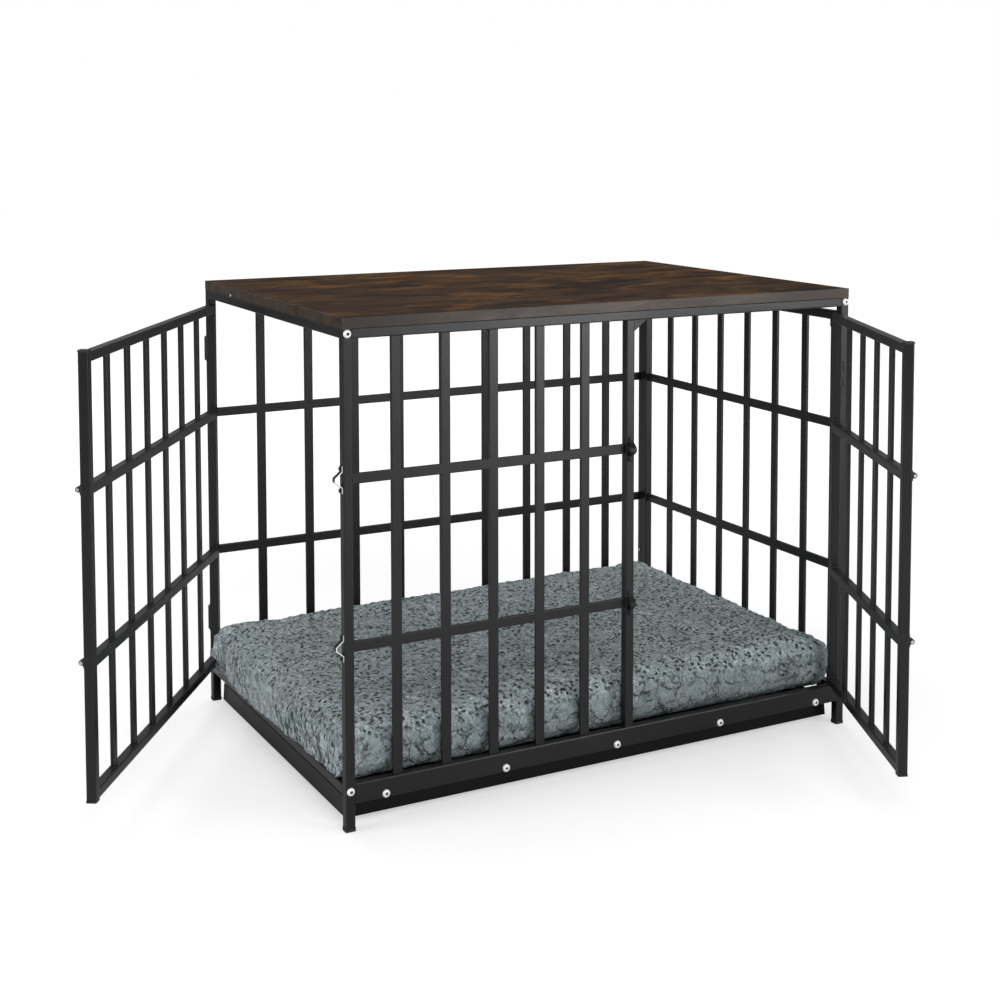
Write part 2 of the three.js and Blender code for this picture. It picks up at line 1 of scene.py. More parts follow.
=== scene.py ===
"""The looks of a dog crate end table: black powder-coated steel, a printed wood top,
zinc fasteners and a curly plush cushion. Everything is in metres, in the crate's frame:
X along its length, Y from the front to the back, Z up, the origin under the front left foot."""

import json
import math

import bpy
import numpy as np
from mathutils import Matrix, Vector, noise


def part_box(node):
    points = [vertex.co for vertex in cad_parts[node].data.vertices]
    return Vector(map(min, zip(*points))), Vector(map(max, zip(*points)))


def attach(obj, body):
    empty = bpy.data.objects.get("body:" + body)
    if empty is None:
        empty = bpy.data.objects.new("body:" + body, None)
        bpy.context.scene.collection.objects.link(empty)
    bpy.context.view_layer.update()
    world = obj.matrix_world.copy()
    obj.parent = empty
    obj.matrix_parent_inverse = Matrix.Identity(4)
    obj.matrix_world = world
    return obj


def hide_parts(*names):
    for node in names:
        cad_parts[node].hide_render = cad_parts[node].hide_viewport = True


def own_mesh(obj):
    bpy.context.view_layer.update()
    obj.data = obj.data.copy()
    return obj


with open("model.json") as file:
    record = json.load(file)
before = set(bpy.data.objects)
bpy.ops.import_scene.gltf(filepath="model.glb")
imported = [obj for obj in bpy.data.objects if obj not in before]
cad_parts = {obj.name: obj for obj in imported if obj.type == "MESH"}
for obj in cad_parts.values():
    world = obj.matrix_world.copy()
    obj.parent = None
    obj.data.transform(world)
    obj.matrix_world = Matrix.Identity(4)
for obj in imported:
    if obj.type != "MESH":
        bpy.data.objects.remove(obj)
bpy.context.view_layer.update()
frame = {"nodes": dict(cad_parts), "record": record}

noise.seed_set(5)  # noise_vector draws from the clock without it

MM = 0.001
HALF_TUBE = 6.5 * MM

# Colours as linear red, green and blue. A pair is the darker and the paler end of a clouded one.
COAT_TONES = (0.0045, 0.0047, 0.0048), (0.007, 0.0073, 0.0075)
# paler tone at the tubes' edges: partly wear, partly a painted highlight
COAT_EDGE_WEAR_AND_HIGHLIGHT = (0.052, 0.054, 0.055)
# paler tone for what faces up
COAT_UPWARD_PALE = (0.026, 0.027, 0.028)
PLASTIC_TONES = (0.008, 0.008, 0.008), (0.013, 0.013, 0.013)
ZINC_TONES = (0.62, 0.62, 0.63), (0.8, 0.8, 0.8)
BOLT_TONES = (0.86, 0.86, 0.86), (0.97, 0.97, 0.97)
# painted shade inside a bolt's socket
BOLT_SOCKET_SHADE = (0.03, 0.03, 0.03)
STRAP_BLACK = (0.011, 0.0115, 0.012)
STRAP_BARE_TONES = (0.86, 0.86, 0.85), (0.98, 0.98, 0.97)
BOARD_TONES = (0.014, 0.0072, 0.004), (0.041, 0.0215, 0.0105), (0.07, 0.039, 0.0195)
BOARD_AMBER = (0.175, 0.076, 0.014)
EDGING_TONES = (0.023, 0.0135, 0.0085), (0.05, 0.0325, 0.022), (0.084, 0.059, 0.0425)
EDGING_AMBER = (0.085, 0.044, 0.018)
PLUSH_TIPS = (0.46, 0.545, 0.565), (0.58, 0.665, 0.69)
# the bright tone of curl tops, also painted over the left side as light
PLUSH_BRIGHT_TIP_AND_SIDE_LIGHT = (0.78, 0.87, 0.89)
PLUSH_MATTED = (0.13, 0.175, 0.19)
# the dark of the folds, also painted over the front side as shade
PLUSH_FOLD_AND_SHADE = (0.07, 0.098, 0.108)
PLUSH_STREAK = (0.045, 0.07, 0.082)
# the dark painted as shade into the pits and partings
PLUSH_GAP_SHADE = (0.009, 0.016, 0.02)
HEM_TONES = (0.3, 0.33, 0.34), (0.4, 0.42, 0.43)
FLOOR_GREY = (0.6, 0.6, 0.6)

SOCKET_R = 2.0 * MM  # of the hexagon socket in a bolt's head, which is painted dark as shade
EASED_R = 0.0014  # how far the coat rounds the tubes' edges over
PLUSH_SIDE_TOP = 117 * MM  # the sides' pile begins here
PLUSH_SIDE_BLEND = 0.014
PLUSH_LEFT_X = 0.024, 0.008  # and the left side's pile between these
HEM_Z = 0.0615, 0.0585
HEM_X = -0.001, -0.004
PITS = 132.0  # cells to a metre: pits on top, and clumps of pile in the sides
BIG_CLUMPS = 36.0
SMALL_CLUMPS = 82.0


# ---------------------------------------------------------------- shader nodes
class Wire:
    """An output socket of a shader's nodes. Arithmetic on it adds Math nodes."""

    def __init__(self, nodes, socket):
        self.nodes = nodes
        self.socket = socket

    def math(self, operation, *values):
        return self.nodes.node("ShaderNodeMath", {"operation": operation}, dict(enumerate(values)))

    def __add__(self, other):
        return self.math("ADD", self, other)

    def __radd__(self, other):
        return self.math("ADD", other, self)

    def __sub__(self, other):
        return self.math("SUBTRACT", self, other)

    def __rsub__(self, other):
        return self.math("SUBTRACT", other, self)

    def __mul__(self, other):
        return self.math("MULTIPLY", self, other)

    def __rmul__(self, other):
        return self.math("MULTIPLY", other, self)

    def __pow__(self, other):
        return self.math("POWER", self, other)

    def bounded(self, low=0.0, high=1.0):
        return self.math("MINIMUM", self.math("MAXIMUM", self, low), high)


class Nodes:
    """The node tree of a material or a world, and the shader that it feeds."""

    def __init__(self, owner, shader):
        owner.use_nodes = True
        self.tree = owner.node_tree
        self.shader = self.tree.nodes[shader]

    def node(self, kind, settings=(), inputs=(), out=0):
        node = self.tree.nodes.new(kind)
        for key, value in dict(settings).items():
            if key == "stops":
                self.set_stops(node.color_ramp, value)
            else:
                setattr(node, key, value)
        for key, value in dict(inputs).items():
            self.feed(node.inputs[key], value)
        return Wire(self, node.outputs[out])

    def set_stops(self, ramp, stops):
        while len(ramp.elements) < len(stops):
            ramp.elements.new(1.0)
        for element, (position, color) in zip(ramp.elements, stops):
            element.position = position
            element.color = (*color, 1.0)

    def feed(self, socket, value):
        if isinstance(value, Wire):
            self.tree.links.new(value.socket, socket)
        elif hasattr(socket.default_value, "__len__") and len(value) == 3 and socket.type == "RGBA":
            socket.default_value = (*value, 1.0)
        else:
            socket.default_value = value

    def set(self, **inputs):
        """Feeds the shader's own sockets, whose names are written with underscores."""
        for key, value in inputs.items():
            self.feed(self.shader.inputs[key.replace("_", " ")], value)

    def seen_by(self, ray):
        return self.node("ShaderNodeLightPath", out=f"Is {ray} Ray")


class Shade(Nodes):
    """One Principled material."""

    def __init__(self, name):
        self.material = bpy.data.materials.new(name)
        super().__init__(self.material, "Principled BSDF")

    def place(self, stretch=(1, 1, 1), shift=(0, 0, 0)):
        """Object coordinates, stretched and moved."""
        where = self.node("ShaderNodeTexCoord", out="Object")
        return self.node("ShaderNodeMapping", {}, {"Vector": where, "Scale": stretch, "Location": shift})

    def facing(self):
        """The direction in which the surface faces."""
        return self.node("ShaderNodeNewGeometry", out="Normal")

    def axis(self, vector, index):
        """One of a vector's three numbers."""
        return self.node("ShaderNodeSeparateXYZ", {}, {0: vector}, out=index)

    def vector_math(self, operation, *values, out=0):
        return self.node("ShaderNodeVectorMath", {"operation": operation}, dict(enumerate(values)), out=out)

    def warped(self, where, scale, reach):
        """A place, pushed about by noise as far as reach."""
        push = self.node("ShaderNodeTexNoise", {}, {"Vector": where, "Scale": scale, "Detail": 1.0}, out=1)
        centred = self.vector_math("SUBTRACT", push, (0.5, 0.5, 0.5))
        scaled = self.node("ShaderNodeVectorMath", {"operation": "SCALE"}, {0: centred, 3: 2 * reach})
        return self.vector_math("ADD", where, scaled)

    def cells(self, where, scale, feature="F1", out="Distance"):
        return self.node(
            "ShaderNodeTexVoronoi", {"feature": feature}, {"Vector": where, "Scale": scale}, out=out
        )

    def grain(self, where, scale, detail=2.0, rough=0.5, twist=0.0):
        """Noise from 0 to 1."""
        return self.node(
            "ShaderNodeTexNoise",
            {},
            {"Vector": where, "Scale": scale, "Detail": detail, "Roughness": rough, "Distortion": twist},
        )

    def ramp(self, factor, *stops):
        return self.node("ShaderNodeValToRGB", {"stops": stops}, {"Fac": factor})

    def clouded(self, cloud, tones):
        """The darker tone to the paler one, as noise goes through the middle of its range."""
        darker, paler = tones
        return self.ramp(cloud, (0.3, darker), (0.7, paler))

    def level(self, factor, low, high):
        """Factor, from 0 at low to 1 at high."""
        return self.node(
            "ShaderNodeMapRange", {"clamp": True}, {0: factor, 1: low, 2: high, 3: 0.0, 4: 1.0}
        )

    def mix(self, factor, first, second):
        return self.node("ShaderNodeMix", {"data_type": "RGBA"}, {0: factor, 6: first, 7: second}, out=2)

    def bump(self, height, distance, strength=1.0, **more):
        self.set(Normal=self.node(
            "ShaderNodeBump", {}, {"Height": height, "Distance": distance, "Strength": strength, **more}
        ))

    def eased(self, radius):
        """The surface's normal, rounded over at the edges."""
        return self.node("ShaderNodeBevel", {"samples": 4}, {"Radius": radius})


def dimmed(color, share):
    return tuple(share * part for part in color)


# ---------------------------------------------------------------- materials
def black_coat(name="black_powder_coat", tone=1.0, gloss=0.4):
    """Satin black powder coat: fine orange peel, paler at the tubes' rounded edges, partly wear and partly
    a painted highlight, and paler on what faces up. A lower tone is a deeper black."""
    shade = Shade(name)
    where = shade.place()
    wide = shade.grain(where, 9.0, 3.0)
    peel = shade.grain(where, 1100.0, 1.0)
    facing = shade.facing()
    eased = shade.eased(EASED_R)
    # paler in clouds on what faces up
    upward_pale = shade.level(shade.axis(facing, 2), 0.55, 0.95) * (0.35 + 0.6 * wide)
    turned = shade.vector_math("DOT_PRODUCT", eased, facing, out="Value")
    # paler where the rounded normal turns from the face: partly wear, partly a painted highlight
    edge_wear_and_highlight = shade.level(turned, 0.985, 0.86) * (0.45 + 0.5 * wide)
    coat = shade.clouded(wide, [dimmed(color, tone) for color in COAT_TONES])
    rubbed_and_highlit = shade.mix(edge_wear_and_highlight, coat, dimmed(COAT_EDGE_WEAR_AND_HIGHLIGHT, tone))
    shade.set(
        Base_Color=shade.mix(upward_pale * 0.5, rubbed_and_highlit, dimmed(COAT_UPWARD_PALE, tone)),
        Roughness=0.28 + 0.12 * wide,
        Specular_IOR_Level=gloss,
    )
    shade.bump(peel, 0.00006, Normal=eased)
    return shade.material


def black_plastic():
    """Moulded black plastic of the end caps and feet."""
    shade = Shade("moulded_black_plastic")
    fine = shade.grain(shade.place(), 700.0, 2.0)
    shade.set(Base_Color=shade.clouded(fine, PLASTIC_TONES), Roughness=0.5 + 0.15 * fine)
    shade.bump(fine, 0.00005)
    return shade.material


def zinc(name, bright=1.0):
    """Zinc plate, a little clouded."""
    shade = Shade(name)
    cloud = shade.grain(shade.place(), 240.0, 3.0)
    shade.set(
        Base_Color=shade.clouded(cloud, [dimmed(color, bright) for color in ZINC_TONES]),
        Roughness=0.24 + 0.16 * cloud,
        Metallic=1.0,
    )
    return shade.material


def bolt_steel(name, x, z):
    """A bright bolt head round the axis through x and z, with painted shade in its socket."""
    shade = Shade(name)
    where = shade.place()
    cloud = shade.grain(where, 300.0, 3.0)
    away = (shade.axis(where, 0) - x) ** 2.0 + (shade.axis(where, 2) - z) ** 2.0
    # inside the socket the head is painted dark, as its shade
    rim = shade.level(away ** 0.5, SOCKET_R - 0.0002, SOCKET_R + 0.0003)
    shade.set(
        Base_Color=shade.mix(rim, BOLT_SOCKET_SHADE, shade.clouded(cloud, BOLT_TONES)),
        Roughness=0.62 - 0.24 * rim + 0.1 * cloud,
        Metallic=0.2 * rim,
    )
    return shade.material


def cut_strap():
    """Black strap, whose sheared edges are bare metal: they face along the strap's width."""
    shade = Shade("sheared_black_strap")
    edge = shade.level(shade.axis(shade.facing(), 1) ** 2.0, 0.7, 0.9)
    cloud = shade.grain(shade.place(), 400.0, 3.0)
    shade.set(
        Base_Color=shade.mix(edge, STRAP_BLACK, shade.clouded(cloud, STRAP_BARE_TONES)),
        Roughness=0.38 + 0.1 * cloud,
        Metallic=0.15 * edge,
    )
    return shade.material


def printed_wood(name, tones, amber, amber_amount, rough, gloss, arris=0.0):
    """Printed wood grain that runs along the crate, with amber and burnt patches. It is paler along an
    arris, as a painted highlight."""
    shade = Shade(name)

    def drawn(across, shift=(0, 0, 0)):
        return shade.place((1.0, across, across), shift)

    patch = shade.grain(drawn(2.0, (3.1, 0.4, 0)), 8.5, 6.0, 0.66, 0.8)
    blot = shade.grain(drawn(2.4, (7.7, 5.2, 0)), 8.0, 4.0, 0.6, 0.4)
    streak = shade.grain(drawn(6.0), 11.0, 6.0, 0.66, 0.7)
    thread = shade.grain(drawn(34.0), 24.0, 4.0, 0.7, 0.2)
    dark, brown, pale = tones
    ground = shade.ramp(streak, (0.34, dark), (0.5, brown), (0.7, pale))
    glow = shade.level(patch, 0.49, 0.64) * (0.3 + 0.7 * shade.level(streak, 0.38, 0.6)) * amber_amount
    burnt = shade.level(blot, 0.5, 0.62) * 0.85
    lines = shade.level(thread, 0.56, 0.44)
    patched = shade.mix(burnt, shade.mix(glow, ground, amber), dimmed(dark, 0.7))
    grained = shade.mix(lines * 0.4, patched, dark)
    facing = shade.facing()
    flat = sum((shade.axis(facing, index) ** 2.0) ** 2.0 for index in range(3))
    # a painted highlight along the bevelled arrises, where flat faces meet
    arris_highlight = shade.level(flat, 0.9, 0.55) * arris
    shade.set(
        Base_Color=shade.mix(arris_highlight, grained, dimmed(pale, 1.7)),
        Roughness=rough + 0.12 * thread,
        Specular_IOR_Level=gloss,
    )
    shade.bump(thread, 0.0002, 0.3)
    return shade.material


def plush():
    """Curly plush, pale at the ends of its curls, with painted shade in the pits between its curls on top
    and in the partings of the front's pile, combed streaks down the left side and a plain hem below them.
    Its left side is painted paler, as painted light, and its front darker, as painted shade."""
    shade = Shade("curly_plush")
    where = shade.place()
    along, deep, tall = (shade.axis(where, index) for index in range(3))
    side = shade.level(tall, PLUSH_SIDE_TOP, PLUSH_SIDE_TOP - PLUSH_SIDE_BLEND)
    left = shade.level(along, *PLUSH_LEFT_X) * side
    front = side * (1.0 - left)
    hem = shade.level(tall, *HEM_Z) * shade.level(along, *HEM_X)

    tone = shade.grain(where, 13.0, 3.0)
    curl = shade.grain(shade.warped(where, 95.0, 0.0042), 150.0, 3.0, 0.62, 1.6)
    hair = shade.grain(where, 620.0, 2.0, 0.7, 0.8)
    folds = shade.level(curl, 0.55, 0.38) * (1.0 - 0.5 * left - 0.78 * front)

    dotted = shade.warped(where, 170.0, 0.0034)
    presence = shade.axis(shade.cells(dotted, PITS, out="Color"), 0)
    depth = shade.level(shade.cells(dotted, PITS), 0.42, 0.3)
    pits = depth * shade.level(presence, 0.1, 0.26) * (1.0 - 0.85 * side)

    frayed = (curl - 0.5) * 0.26
    big = shade.cells(shade.warped(where, 60.0, 0.014), BIG_CLUMPS, "DISTANCE_TO_EDGE")
    small = shade.cells(shade.warped(where, 90.0, 0.008), SMALL_CLUMPS, "DISTANCE_TO_EDGE")
    parted = shade.level(shade.grain(where, 40.0, 1.0), 0.34, 0.56)
    nicked = shade.level(shade.grain(where, 55.0, 1.0), 0.5, 0.62)
    parting = shade.level(big + frayed, 0.07, 0.0) * parted
    nicks = shade.level(small + frayed, 0.05, -0.02) * nicked
    cracks = (parting + nicks * 0.45) * front
    # painted shade in the pits and partings, which darkens the pile there
    gaps_painted_shade = (pits * 0.95 + cracks * 0.9).bounded()

    fall = shade.node("ShaderNodeCombineXYZ", {}, {0: along, 1: deep - tall * 0.4, 2: tall * 0.2})
    combed = shade.grain(fall, 230.0, 3.0, 0.6, 0.3)
    combed_most = 0.55 + shade.level(shade.grain(where, 9.0, 1.0), 0.35, 0.6)
    streaks = shade.level(combed, 0.54, 0.42) * left * combed_most

    # painted light: the left side's pile is mixed towards the bright tone
    tips_lit_left = shade.mix(left * 0.45, shade.clouded(tone, PLUSH_TIPS), PLUSH_BRIGHT_TIP_AND_SIDE_LIGHT)
    # painted shade: the whole front side is darkened towards the fold colour
    front_shade = shade.mix(front * 0.45, tips_lit_left, PLUSH_FOLD_AND_SHADE)
    folded = shade.mix(folds * 0.74, front_shade, PLUSH_FOLD_AND_SHADE)
    matted = shade.mix(shade.level(hair, 0.55, 0.36) * 0.5, folded, PLUSH_MATTED)
    # bright curl tops, more of them on the left as painted light and fewer on the front as painted shade
    curl_tops_and_side_light = shade.level(curl, 0.53, 0.7) * (0.6 - 0.4 * front + 0.35 * left)
    bright = shade.mix(curl_tops_and_side_light, matted, PLUSH_BRIGHT_TIP_AND_SIDE_LIGHT)
    streaked = shade.mix((streaks * 0.85).bounded(), bright, PLUSH_STREAK)
    pile = shade.mix(gaps_painted_shade, streaked, PLUSH_GAP_SHADE)
    shade.set(
        Base_Color=shade.mix(hem, pile, shade.clouded(hair, HEM_TONES)),
        Roughness=0.92 - 0.05 * hair,
        Sheen_Weight=0.25,
        Sheen_Roughness=0.5,
        Specular_IOR_Level=0.08,
    )
    shade.bump(curl * 0.9 + hair * 0.2 - gaps_painted_shade + combed * side * 0.5, 0.0055)
    return shade.material


COAT = black_coat()
PLUSH = plush()
SCREW = zinc("screw_zinc", 1.1)
FINISH = {
    "black_coat": COAT,
    "black_plastic": black_plastic(),
    "zinc": zinc("bright_zinc_plate"),
    "wood_board": printed_wood(
        "rustic_wood_print", BOARD_TONES, BOARD_AMBER, amber_amount=0.95, rough=0.55, gloss=0.03
    ),
    # its arrises get a painted highlight
    "edge_band": printed_wood(
        "wood_print_edging", EDGING_TONES, EDGING_AMBER, amber_amount=0.5, rough=0.32, gloss=0.32, arris=0.8
    ),
    "plush": PLUSH,
}
TRAY_PIECES = ("tray", "front_tray_runner", "back_tray_runner")


# ---------------------------------------------------------------- pieces
def dress_frame():
    """Gives every carried-over node the finish of its slot, and the bolts, the straps on the post and
    the tray their own. The tray's is a darker, duller copy of the coat, as painted shade under the frame."""
    slots = {row["node"]: row["material_slot"] for row in frame["record"]["subparts"]}
    strap = cut_strap()
    # a darker, duller copy of the coat for the tray: painted shade under the frame
    shaded_tray_sheet = black_coat("shaded_black_coated_sheet", tone=0.6, gloss=0.24)
    for name, node in frame["nodes"].items():
        finish = FINISH[slots[name]]
        if name.startswith(("post_bolt", "rail_bolt")):
            low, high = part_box(name)
            finish = bolt_steel(f"{name}_steel", (low[0] + high[0]) / 2, (low[2] + high[2]) / 2)
        elif name.endswith("keeper"):
            finish = strap if name.startswith("front_left_post") else COAT
        elif name in TRAY_PIECES:
            finish = shaded_tray_sheet
        node.data.materials.clear()
        node.data.materials.append(finish)
    ease = frame["nodes"]["tabletop_edge_band"].modifiers.new("eased edge", "BEVEL")
    ease.width = 0.8 * MM
    ease.segments = 2


def nothing_selected():
    if bpy.context.mode != "OBJECT":
        bpy.ops.object.mode_set(mode="OBJECT")
    bpy.ops.object.select_all(action="DESELECT")


def settle(piece, name, finish, body="frame"):
    """Names a finished piece, puts its place in its mesh, and lets it ride on a body."""
    nothing_selected()
    piece.name = name
    piece.data.name = name
    piece.select_set(True)
    bpy.context.view_layer.objects.active = piece
    bpy.ops.object.transform_apply(location=True, rotation=True, scale=True)
    piece.data.materials.clear()
    piece.data.materials.append(finish)
    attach(piece, body)
    return piece


def apply(piece, kind, **settings):
    """Finishes a piece with a modifier, which stays in its mesh."""
    modifier = piece.modifiers.new(kind.lower(), kind)
    for key, value in settings.items():
        setattr(modifier, key, value)
    bpy.ops.object.modifier_apply(modifier=modifier.name)


def at(x, y, z):
    """A place that is measured from the frame's front left corner, in millimetres."""
    return Vector((x, y, z)) * MM - Vector((HALF_TUBE, HALF_TUBE, 0))


SCREW_SIDES = 18
SCREW_SUNK = 0.00005  # how far a head sinks into its face


def screw(name, place, outward, finish, head=0.0024, tall=0.0013):
    """A small domed screw head on a face, its axis along outward."""
    nothing_selected()
    bpy.ops.mesh.primitive_cylinder_add(vertices=SCREW_SIDES, radius=head, depth=tall)
    piece = bpy.context.object
    apply(piece, "BEVEL", width=0.42 * tall, segments=3)
    piece.rotation_mode = "QUATERNION"
    piece.rotation_quaternion = Vector(outward).to_track_quat("Z", "Y")
    piece.location = place + Vector(outward) * (0.5 * tall - SCREW_SUNK)
    bpy.ops.object.shade_smooth_by_angle(angle=math.radians(35))
    return settle(piece, name, finish)


STRAP_THICK = 1.2 * MM
STRAP_SCREW_IN = 3.4 * MM  # from the strap's end to its screw


def keeper_screws():
    """Two black screw heads on the feet of every keeper."""
    for name in sorted(name for name in frame["nodes"] if name.endswith("keeper")):
        low, high = (Vector(corner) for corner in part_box(name))
        middle = (low + high) / 2
        on_post = name.startswith("front_left_post")
        outward = Vector((-1, 0, 0)) if on_post else Vector((0, -1, 0))
        face = (high.x if on_post else high.y) - STRAP_THICK
        for label, z in (("top", high.z - STRAP_SCREW_IN), ("bottom", low.z + STRAP_SCREW_IN)):
            place = Vector((face, middle.y, z)) if on_post else Vector((middle.x, face, z))
            screw(f"{name}_{label}_screw", place, outward, COAT, head=0.0028, tall=0.0024)


FRAME_SCREWS = {
    "board_edge_screw": at(0, 445.6, 647.9),
    "back_left_post_screw": at(0, 566, 462),
    "front_right_post_upper_screw": at(787, 5, 238),
    "front_right_post_lower_screw": at(787, 5, 75),
    "back_right_post_screw": at(787, 565, 140),
}


def frame_screws():
    """The small screws that join the board and the panels to the frame, all facing left."""
    for name, place in FRAME_SCREWS.items():
        screw(name, place, (-1, 0, 0), SCREW, head=0.0021)


# ---------------------------------------------------------------- cushion
CUSHION_LOW = at(6, 20, 48)
CUSHION_HIGH = at(781, 551, 116)
CUSHION_ROUND = 0.012
VOXEL = 0.006
REST_Z = 47.7 * MM  # on the slats
RAIL_REST_Z = 60.5 * MM  # on the left bottom rail
RAIL_IN_X = at(14.5, 0, 0).x  # the left bottom rail's inner face
RAIL_OUT_X = at(-0.6, 0, 0).x  # and its outer one
RAIL_SLOPE = 0.006  # how far the underside takes to rise onto the rail
INSIDE_LOW, INSIDE_HIGH = at(-8, 14, 0), at(785.7, 557.5, 0)  # between the grilles
SWELL = 11 * MM
SWELL_STEPS = 20
CORNER_LIFT = 5 * MM  # how much fuller the right end is
TUCK_Z = 88 * MM  # below this the front curls in under the cushion
TUCK_Y = 29 * MM
TUCK_REACH = 0.09  # how far into the cushion that goes
# Where the sides reach: a side's axis and end, and how far out it is along the other axis, in millimetres
SIDES = (
    (0, -1, (14, 80, 250, 400, 556), (1.5, -1.0, -4.0, -4.5, -3.0)),
    (0, 1, (14, 150, 290, 430, 556), (784.5, 783.5, 783.0, 783.5, 784.5)),
    (1, -1, (0, 200, 400, 600, 785), (15.0, 17.5, 18.0, 17.5, 15.5)),
    (1, 1, (0, 200, 400, 600, 785), (556.5, 555.0, 554.5, 555.0, 556.5)),
)
SIDE_STEPS = 25  # a side is measured at this many places, short of its corners
SIDE_CORNER = 0.08
SIDE_EVEN = 5  # and evened out over this many
# How low the overhang at the left hangs, from the front to the back, in millimetres
HANG_Y = (14, 150, 300, 400, 556)
HANG_Z = (64, 62.5, 59, 52, 50.5)
# The lumps in the pile: how wide each kind is, and how high it stands
BROAD_WIDE, BROAD_HIGH = 0.05, 0.0016
TUFT_WIDE, TUFT_HIGH = 0.027, 0.0038
KNOT_WIDE, KNOT_HIGH = 0.0105, 0.0019
CURL_WIDE, CURL_HIGH = 0.0055, 0.0012
TUFT_BEND_WIDE, TUFT_BEND = 0.03, 0.35


def points(mesh):
    place = np.empty(len(mesh.vertices) * 3)
    mesh.vertices.foreach_get("co", place)
    return place.reshape(-1, 3)


def set_points(mesh, place):
    mesh.vertices.foreach_set("co", place.ravel())
    mesh.update()


def swell(piece):
    """Blows the cushion up as cloth under pressure, by SWELL at most."""
    start = points(piece.data)
    cloth = piece.modifiers.new("cover", "CLOTH")
    cloth.settings.quality = 4
    cloth.settings.use_pressure = True
    cloth.settings.uniform_pressure_force = 4.0
    cloth.settings.effector_weights.gravity = 0.0
    cloth.point_cache.frame_start = 1
    cloth.point_cache.frame_end = SWELL_STEPS
    for frame_number in range(1, SWELL_STEPS + 1):
        bpy.context.scene.frame_set(frame_number)
    shown = piece.evaluated_get(bpy.context.evaluated_depsgraph_get())
    move = points(shown.data) - start
    piece.modifiers.remove(cloth)
    bpy.context.scene.frame_set(1)
    far = np.linalg.norm(move, axis=1, keepdims=True)
    move *= np.minimum(1.0, SWELL / np.maximum(far, 1e-9))
    set_points(piece.data, start + move)


def fit_sides(place):
    """Moves each side of the cushion out to its line, and what lies behind it in proportion."""
    middle = (place.min(axis=0) + place.max(axis=0)) / 2
    for axis, end, spots, lines in SIDES:
        other = 1 - axis
        reach = end * (place[:, axis] - middle[axis])
        first, last = place[:, other].min(), place[:, other].max()
        corner = SIDE_CORNER * (last - first)
        edges = np.linspace(first + corner, last - corner, SIDE_STEPS)
        step = np.digitize(place[:, other], edges)
        tips_lit_left = np.array([reach[step == i].max() for i in range(1, len(edges))])
        evened = np.pad(tips_lit_left, SIDE_EVEN // 2, mode="edge")
        tips_lit_left = np.convolve(evened, np.ones(SIDE_EVEN) / SIDE_EVEN, mode="valid")
        tip = np.interp(place[:, other], (edges[1:] + edges[:-1]) / 2, tips_lit_left)
        line = np.interp(place[:, other], np.array(spots) * MM - HALF_TUBE, np.array(lines) * MM - HALF_TUBE)
        wanted = end * (line - middle[axis])
        share = np.clip(reach / tip, 0, 1) ** 2
        place[:, axis] += end * (wanted - tip) * share
    return place


def tuck_front(place):
    """Curls the front face in towards its lower edge."""
    low = np.clip((TUCK_Z - place[:, 2]) / (TUCK_Z - REST_Z), 0, 1)
    near = np.clip(1 - (place[:, 1] - at(0, 15, 0).y) / TUCK_REACH, 0, 1)
    place[:, 1] += TUCK_Y * low ** 2 * near
    return place


def rest_on_frame(place):
    """Keeps the cushion's points above the slats and the left rail, and inside the grilles."""
    place[:, 0] = np.clip(place[:, 0], INSIDE_LOW.x, INSIDE_HIGH.x)
    place[:, 1] = np.clip(place[:, 1], INSIDE_LOW.y, INSIDE_HIGH.y)
    over = np.clip((RAIL_IN_X + RAIL_SLOPE - place[:, 0]) / RAIL_SLOPE, 0, 1)
    rail_z = REST_Z + over * (RAIL_REST_Z - REST_Z)
    hang_z = np.interp(place[:, 1], np.array(HANG_Y) * MM - HALF_TUBE, np.array(HANG_Z) * MM)
    outside = place[:, 0] < RAIL_OUT_X
    lowest = np.where(outside, np.minimum(hang_z, rail_z + 0.004), rail_z)
    place[:, 2] = np.maximum(place[:, 2], lowest)
    return place


def lumps(piece):
    """Gives the pile its tufts: broad ones in the sides, fine ones everywhere."""
    mesh = piece.data
    place = points(mesh)
    normal = np.empty(len(place) * 3)
    mesh.vertex_normals.foreach_get("vector", normal)
    normal = normal.reshape(-1, 3)
    rise = np.empty(len(place))
    for i, spot in enumerate(place):
        spot = Vector(spot)
        side = 1.0 - abs(normal[i][2])
        broad = noise.noise(spot / BROAD_WIDE) * 1.2
        bend = noise.noise_vector(spot / TUFT_BEND_WIDE) * TUFT_BEND
        near = noise.voronoi(spot / TUFT_WIDE + bend)[0]
        tuft = min(1.0, (near[1] - near[0]) / 0.4) * side
        near = noise.voronoi(spot / KNOT_WIDE)[0]
        knot = min(1.0, (near[1] - near[0]) / 0.6)
        fine = noise.noise(spot / CURL_WIDE + Vector((1, 9, 4)))
        rise[i] = BROAD_HIGH * broad + TUFT_HIGH * tuft + KNOT_HIGH * knot + CURL_HIGH * fine
    shown = np.clip((place[:, 2] - REST_Z) / 0.006, 0, 1)
    set_points(mesh, rest_on_frame(place + normal * (rise * shown)[:, None]))


def shape_to_crate(piece):
    """Fits the swollen cushion to the crate: its outline, its fuller right end and its tucked front."""
    place = fit_sides(points(piece.data))
    along = np.clip((place[:, 0] - at(60, 0, 0).x) / 0.7, 0, 1)
    up = np.clip((place[:, 2] - 0.07) / 0.04, 0, 1)
    place[:, 2] += CORNER_LIFT * along * up
    set_points(piece.data, rest_on_frame(tuck_front(place)))


